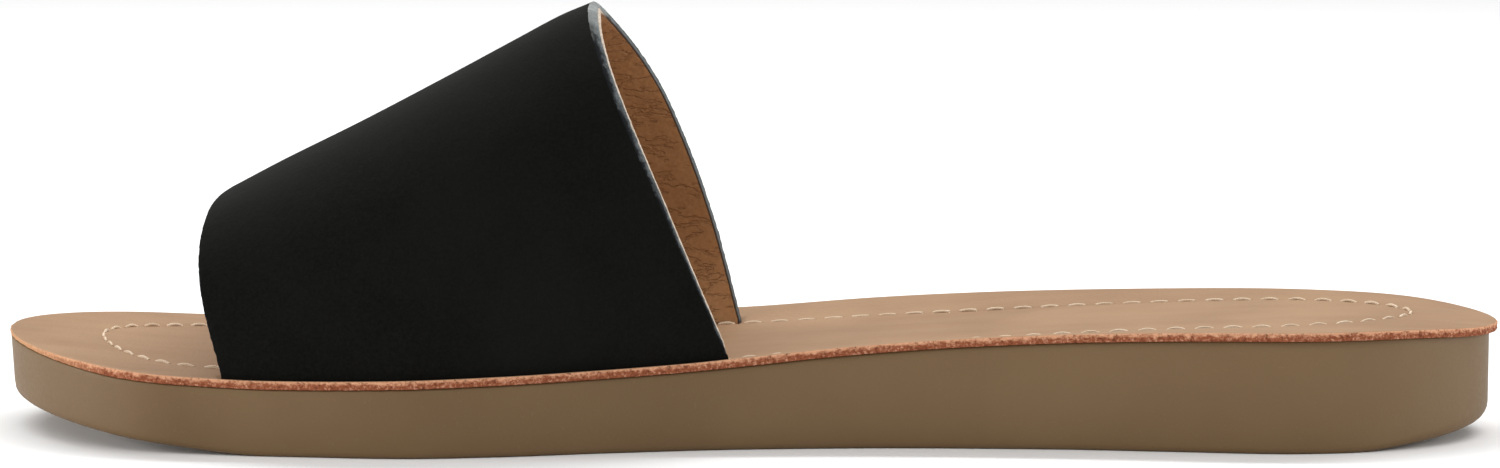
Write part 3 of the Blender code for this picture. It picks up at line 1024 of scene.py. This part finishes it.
def mixed(tree, factor, a, b):
    """One colour laid over another. Plain colours are given as three numbers."""
    node = add(tree, "ShaderNodeMix", data_type="RGBA")
    feed = {0: factor}
    for key, colour in ((6, a), (7, b)):
        feed[key] = colour if isinstance(colour, bpy.types.NodeSocket) else (*colour, 1.0)
    return fed(node, feed).outputs[2]


def bumped(tree, height, distance, normal=None):
    feed = {"Height": height, "Distance": distance, "Strength": 1.0}
    if normal is not None:
        feed["Normal"] = normal
    return result(tree, "ShaderNodeBump", feed)


def black_nubuck(tree, place):
    """Matt black brushed leather: a short nap with faint lighter clouds where it was rubbed."""
    clouds = between(tree, noisy(tree, place, 42.0, 4.0, 0.55), 0.35, 0.70)
    nap = noisy(tree, place, 1900.0, 3.0, 0.65)
    colour = mixed(tree, clouds, (0.0026, 0.0026, 0.0021), (0.0050, 0.0050, 0.0043))
    colour = mixed(tree, between(tree, nap, 0.35, 0.75, 0.0, 0.5), colour, (0.0092, 0.0092, 0.0082))
    normal = bumped(tree, noisy(tree, place, 420.0, 3.0, 0.6), 0.00010)
    normal = bumped(tree, nap, 0.00009, normal)
    return {"Base Color": colour, "Normal": normal}


def raw_cut_edge(tree, place):
    """The strap's cut edge: blue-grey fibres with light flecks, palest over the instep, where the pale colour
    is partly wear and partly a painted highlight.
    """
    fibres = noisy(tree, place, 2300.0, 4.0, 0.75)
    patches = noisy(tree, place, 420.0, 3.0, 0.6)
    inwards = plus(tree, attribute(tree, "depth"), between(tree, patches, 0.3, 0.7, -0.35, 0.35))
    colour = mixed(tree, between(tree, inwards, 0.15, 1.05), (0.007, 0.008, 0.009), (0.120, 0.135, 0.140))
    flecks = times(tree, between(tree, fibres, 0.50, 0.75), between(tree, inwards, 0.1, 0.9))
    colour = mixed(tree, flecks, colour, (0.26, 0.28, 0.29))
    far_side = between(tree, axis(tree, place, "Y"), 0.0, 15 * MM, 0.0, 0.55)
    colour = mixed(tree, far_side, colour, (0.150, 0.165, 0.168))
    # Near the top of the strap the edge is painted paler: partly wear, partly a painted highlight where the
    # light from behind falls on it.
    uneven = plus(tree, axis(tree, place, "Z"), between(tree, patches, 0.3, 0.7, -1.6 * MM, 1.6 * MM))
    wear_and_highlight = between(tree, uneven, STRAP_BACK_HEIGHT * 0.925, STRAP_BACK_HEIGHT * 1.02, 0.0, 0.85)
    colour = mixed(tree, wear_and_highlight, colour, (0.40, 0.42, 0.41))
    return {"Base Color": colour, "Normal": bumped(tree, fibres, 0.00018)}


def brown_lining(tree, place):
    """Soft brown lining leather with a fine grain and small wrinkles across the strap, whose lines are
    darkened with painted shade.
    """
    clouds = between(tree, noisy(tree, place, 60.0, 3.0, 0.5), 0.25, 0.75)
    colour = mixed(tree, clouds, (0.292, 0.136, 0.052), (0.362, 0.186, 0.079))
    grain = cells(tree, place, 1100.0)
    wrinkles = noisy(tree, stretched(tree, place, (0.35, 1.0, 1.0)), 300.0, 4.0, 0.6)
    from_line = calculate(tree, "ABSOLUTE", calculate(tree, "SUBTRACT", wrinkles, 0.5))
    creased = between(tree, from_line, 0.0, 0.03)
    # Painted shade: the wrinkles' lines are coloured darker, as if shade lay in the creases.
    colour = mixed(tree, between(tree, creased, 0.0, 1.0, 0.28, 0.0), colour, (0.180, 0.075, 0.026))
    fine = noisy(tree, place, 1500.0, 3.0, 0.6)
    colour = mixed(tree, between(tree, fine, 0.35, 0.7, 0.0, 0.35), colour, (0.510, 0.275, 0.128))
    normal = bumped(tree, creased, 0.00016)
    normal = bumped(tree, grain, 0.00012, normal)
    return {"Base Color": colour, "Normal": normal}


def cream_glue_edge(tree, place):
    """The lining's cut edge: pale on the inner side, where the slant lays it open, and dark on the outer side
    with painted shade.
    """
    flecks = noisy(tree, place, 1500.0, 3.0, 0.6)
    colour = mixed(tree, between(tree, flecks, 0.3, 0.7), (0.42, 0.33, 0.25), (0.66, 0.58, 0.49))
    # Painted shade: the edge is coloured near black on the outer side, where it lies in shade.
    far_side_shade = between(tree, axis(tree, place, "Y"), 0.0, 6 * MM)
    colour = mixed(tree, far_side_shade, colour, (0.035, 0.022, 0.015))
    return {"Base Color": colour, "Normal": bumped(tree, flecks, 0.00008)}


def tan_insole(tree, place):
    """Smooth tan insole leather: faint clouds and streaks, fine pores and a soft shine."""
    clouds = between(tree, noisy(tree, place, 34.0, 4.0, 0.55), 0.3, 0.7)
    lengthways = stretched(tree, place, (0.25, 1.0, 1.0))
    streaks = between(tree, noisy(tree, lengthways, 160.0, 3.0, 0.6), 0.35, 0.7)
    colour = mixed(tree, clouds, (0.310, 0.181, 0.100), (0.392, 0.241, 0.138))
    colour = mixed(tree, between(tree, streaks, 0.0, 1.0, 0.0, 0.35), colour, (0.430, 0.278, 0.168))
    pores = cells(tree, place, 1250.0)
    fine = noisy(tree, place, 2600.0, 2.0, 0.6)
    normal = bumped(tree, between(tree, pores, 0.0, 0.45), 0.00005)
    normal = bumped(tree, fine, 0.00003, normal)
    gloss = between(tree, clouds, 0.0, 1.0, 0.48, 0.62)
    return {"Base Color": colour, "Normal": normal, "Roughness": gloss}


def coral_raw_edge(tree, place):
    """The insole's raw edge: coral fibres, paler at the top and darker towards the bottom."""
    fibres = noisy(tree, place, 1700.0, 4.0, 0.75)
    patches = noisy(tree, stretched(tree, place, (1.0, 1.0, 1.6)), 620.0, 4.0, 0.7)
    ragged = plus(tree, attribute(tree, "depth"), between(tree, patches, 0.3, 0.7, -0.30, 0.30))
    colour = mixed(tree, between(tree, ragged, 0.15, 0.50), (0.600, 0.300, 0.170), (0.245, 0.072, 0.031))
    colour = mixed(tree, between(tree, fibres, 0.52, 0.66, 0.0, 0.60), colour, (0.700, 0.400, 0.260))
    colour = mixed(tree, between(tree, fibres, 0.34, 0.46, 0.85, 0.0), colour, (0.075, 0.022, 0.012))
    lengthways = axis(tree, place, "X")
    rubbed_toe = between(tree, lengthways, x_of(0.02), x_of(0.09), 0.85, 0.0)
    colour = mixed(tree, rubbed_toe, colour, (0.500, 0.270, 0.140))
    return {"Base Color": colour, "Normal": bumped(tree, fibres, 0.00022)}


def pale_flesh_side(tree, place):
    """The insole's unfinished underside."""
    fibres = noisy(tree, place, 900.0, 4.0, 0.7)
    colour = mixed(tree, fibres, (0.36, 0.23, 0.14), (0.52, 0.36, 0.25))
    return {"Base Color": colour, "Normal": bumped(tree, fibres, 0.0001)}


def cream_thread(tree, place):
    """Cream sewing thread, with the lines of its twist."""
    twist = attribute(tree, "twist")
    lines = calculate(tree, "SINE", times(tree, twist, 2 * math.pi))
    shade = noisy(tree, place, 260.0, 2.0)
    colour = mixed(tree, between(tree, shade, 0.3, 0.7), (0.68, 0.51, 0.35), (0.86, 0.70, 0.52))
    colour = mixed(tree, between(tree, lines, -1.0, 0.0, 0.30, 0.0), colour, (0.32, 0.22, 0.14))
    return {"Base Color": colour, "Normal": bumped(tree, lines, 0.00004)}


def taupe_rubber(tree, place):
    """The moulded sole: matt taupe with a very fine skin."""
    clouds = between(tree, noisy(tree, place, 26.0, 4.0, 0.5), 0.3, 0.7)
    colour = mixed(tree, clouds, (0.124, 0.070, 0.026), (0.150, 0.090, 0.037))
    flecks = noisy(tree, place, 1400.0, 2.0, 0.6)
    colour = mixed(tree, between(tree, flecks, 0.6, 0.8, 0.0, 0.35), colour, (0.180, 0.124, 0.070))
    normal = bumped(tree, flecks, 0.00003)
    normal = bumped(tree, noisy(tree, place, 180.0, 2.0), 0.00005, normal)
    gloss = between(tree, flecks, 0.3, 0.7, 0.52, 0.64)
    return {"Base Color": colour, "Normal": normal, "Roughness": gloss}


def pale_floor(tree, place):
    grain = noisy(tree, place, 3.0, 2.0)
    return {"Base Color": mixed(tree, grain, (0.93, 0.93, 0.93), (0.95, 0.95, 0.95))}


def captured(tree, curve, value):
    """The curve with a value kept on its points, and the kept value."""
    node = add(tree, "GeometryNodeCaptureAttribute", domain="POINT")
    node.capture_items.new("FLOAT", "Kept")
    fed(node, {"Geometry": curve, "Kept": value})
    return node.outputs["Geometry"], node.outputs["Kept"]


def stitch_tree(thread):
    """Geometry nodes that sew a line: one puffed, twisted stitch at each even step of a curve."""
    tree = bpy.data.node_groups.new("stitch_run", "GeometryNodeTree")
    for name, direction, kind in (
        ("Line", "INPUT", "Geometry"),
        ("Stitch length", "INPUT", "Float"),
        ("Arch height", "INPUT", "Float"),
        ("Thread width", "INPUT", "Float"),
        ("Stitches", "INPUT", "Int"),
        ("Turns", "INPUT", "Float"),
        ("Sewn", "OUTPUT", "Geometry"),
    ):
        tree.interface.new_socket(name, in_out=direction, socket_type="NodeSocket" + kind)
    given = add(tree, "NodeGroupInput").outputs
    dip = times(tree, given["Thread width"], -THREAD_DIP_SHARE)
    bow = {"Resolution": STITCH_STEPS}
    for name, place in (
        ("Start", {"X": times(tree, given["Stitch length"], -0.5), "Z": dip}),
        ("Middle", {"Z": times(tree, given["Arch height"], 2.0)}),
        ("End", {"X": times(tree, given["Stitch length"], 0.5), "Z": dip}),
    ):
        bow[name] = result(tree, "ShaderNodeCombineXYZ", place)
    bow = result(tree, "GeometryNodeCurveQuadraticBezier", bow)
    factor = result(tree, "GeometryNodeSplineParameter", output="Factor")
    bulge = calculate(tree, "SINE", times(tree, factor, math.pi))
    radius = plus(tree, times(tree, bulge, 1 - THREAD_END_SHARE), THREAD_END_SHARE)
    bow = result(tree, "GeometryNodeSetCurveRadius", {"Curve": bow, "Radius": radius})
    bow, along = captured(tree, bow, factor)
    width = times(tree, given["Thread width"], 0.5)
    ring = result(tree, "GeometryNodeCurvePrimitiveCircle", {"Resolution": THREAD_SIDES, "Radius": width})
    ring, around = captured(tree, ring, factor)
    tube = result(tree, "GeometryNodeCurveToMesh", {"Curve": bow, "Profile Curve": ring, "Fill Caps": True})
    twist = plus(tree, times(tree, along, given["Turns"]), times(tree, around, STRANDS))
    kept = {"Geometry": tube, "Name": "twist", "Value": twist}
    tube = result(tree, "GeometryNodeStoreNamedAttribute", kept)
    steps = result(tree, "GeometryNodeResampleCurve", {"Curve": given["Line"], "Count": given["Stitches"]})
    tangent = {"Vector": result(tree, "GeometryNodeInputTangent")}
    turn = result(tree, "FunctionNodeAlignRotationToVector", tangent, axis="X", pivot_axis="AUTO")
    sewn = result(tree, "GeometryNodeInstanceOnPoints", {"Points": steps, "Instance": tube, "Rotation": turn})
    sewn = result(tree, "GeometryNodeRealizeInstances", {"Geometry": sewn})
    sewn = result(tree, "GeometryNodeSetShadeSmooth", {"Geometry": sewn})
    sewn = result(tree, "GeometryNodeSetMaterial", {"Geometry": sewn, "Material": thread})
    add(tree, "NodeGroupOutput", {"Sewn": sewn})
    return tree


def make_stitches(thread):
    """The thread of the stitch line, sewn round the insole."""
    path = stitch_path(outline_loop())
    _, total = stitch_places(path)
    curve = bpy.data.curves.new("stitch_line", "CURVE")
    curve.dimensions = "3D"
    spline = curve.splines.new("POLY")
    spline.points.add(len(path) - 1)
    spline.use_cyclic_u = True
    for point, (x, y, z) in zip(spline.points, path):
        point.co = (x, y, z - STITCH_TROUGH + THREAD_WIDTH * THREAD_SEAT_SHARE, 1.0)
    line = placed("stitch_line", curve)
    tree = stitch_tree(thread)
    sewn = line.modifiers.new("sewn", "NODES")
    sewn.node_group = tree
    values = {
        "Stitch length": STITCH_LENGTH,
        "Arch height": STITCH_ARCH,
        "Thread width": THREAD_WIDTH,
        "Stitches": round(total / STITCH_PITCH),
        "Turns": STITCH_LENGTH / THREAD_WIDTH,
    }
    for item in tree.interface.items_tree:
        if item.name in values:
            sewn[item.identifier] = values[item.name]
    evaluated = line.evaluated_get(bpy.context.evaluated_depsgraph_get())
    mesh = bpy.data.meshes.new_from_object(evaluated)
    mesh.name = "stitches"
    bpy.data.objects.remove(line)
    return placed("stitches", mesh)


def make_camera():
    """The photograph's view: low over the inner side, a metre away, through a long lens."""
    data = bpy.data.cameras.new("camera")
    data.sensor_width = SENSOR_WIDTH
    data.lens = FOCAL_LENGTH
    data.clip_end = CLIP_END
    camera = placed("camera", data)
    azimuth, dip = math.radians(CAMERA_AZIMUTH), math.radians(CAMERA_DIP)
    camera.location = (math.sin(azimuth), CAMERA_SHIFT - math.cos(azimuth), CAMERA_HEIGHT)
    level = Vector((-math.sin(azimuth), math.cos(azimuth), 0.0))
    ahead = level * math.cos(dip) - Vector((0.0, 0.0, math.sin(dip)))
    camera.rotation_euler = ahead.to_track_quat("-Z", "Y").to_euler()
    bpy.context.scene.camera = camera


def make_studio(floor_material):
    """A white floor, white surroundings and large soft lights."""
    bpy.ops.mesh.primitive_plane_add(size=FLOOR_SIZE)
    floor = bpy.context.object
    floor.name = "floor"
    floor.data.materials.append(floor_material)
    world = bpy.data.worlds.new("white_room")
    world.use_nodes = True
    fed(world.node_tree.nodes["Background"], {"Color": (1.0, 1.0, 1.0, 1.0), "Strength": ROOM_LIGHT})
    bpy.context.scene.world = world
    for box in SOFTBOXES:
        data = bpy.data.lights.new(box.name, "AREA")
        data.shape = "RECTANGLE"
        data.size, data.size_y = box.width, box.depth
        data.energy = box.watts
        light = placed(box.name, data)
        light.location = box.place
        light.rotation_euler = (-light.location).to_track_quat("-Z", "Y").to_euler()
    bpy.context.scene.view_settings.view_transform = "Standard"


def main():
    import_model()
    make_camera()
    make_studio(made_of(pale_floor, 0.0, 0.90))
    outer, lining = make_strap(
        made_of(black_nubuck, 0.06, 0.93, sheen=0.03, sheen_roughness=0.45, sheen_tint=(0.85, 0.85, 0.78)),
        made_of(raw_cut_edge, 0.12, 0.95),
        made_of(brown_lining, 0.22, 0.62),
        made_of(cream_glue_edge, 0.20, 0.85),
    )
    insole = make_insole(
        made_of(tan_insole, 0.20), made_of(coral_raw_edge, 0.15, 0.92), made_of(pale_flesh_side, 0.10, 0.95)
    )
    stitches = make_stitches(made_of(cream_thread, 0.25, 0.70, sheen=0.1))
    sole = make_sole(made_of(taupe_rubber, 0.36))
    for piece, node, slot in (
        (outer, "strap", "strap"),
        (lining, "strap", "strap"),
        (insole, "insole", "insole"),
        (stitches, "insole", "insole"),
        (sole, "sole", "sole"),
    ):
        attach(piece, "root")
        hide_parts(node)


main()
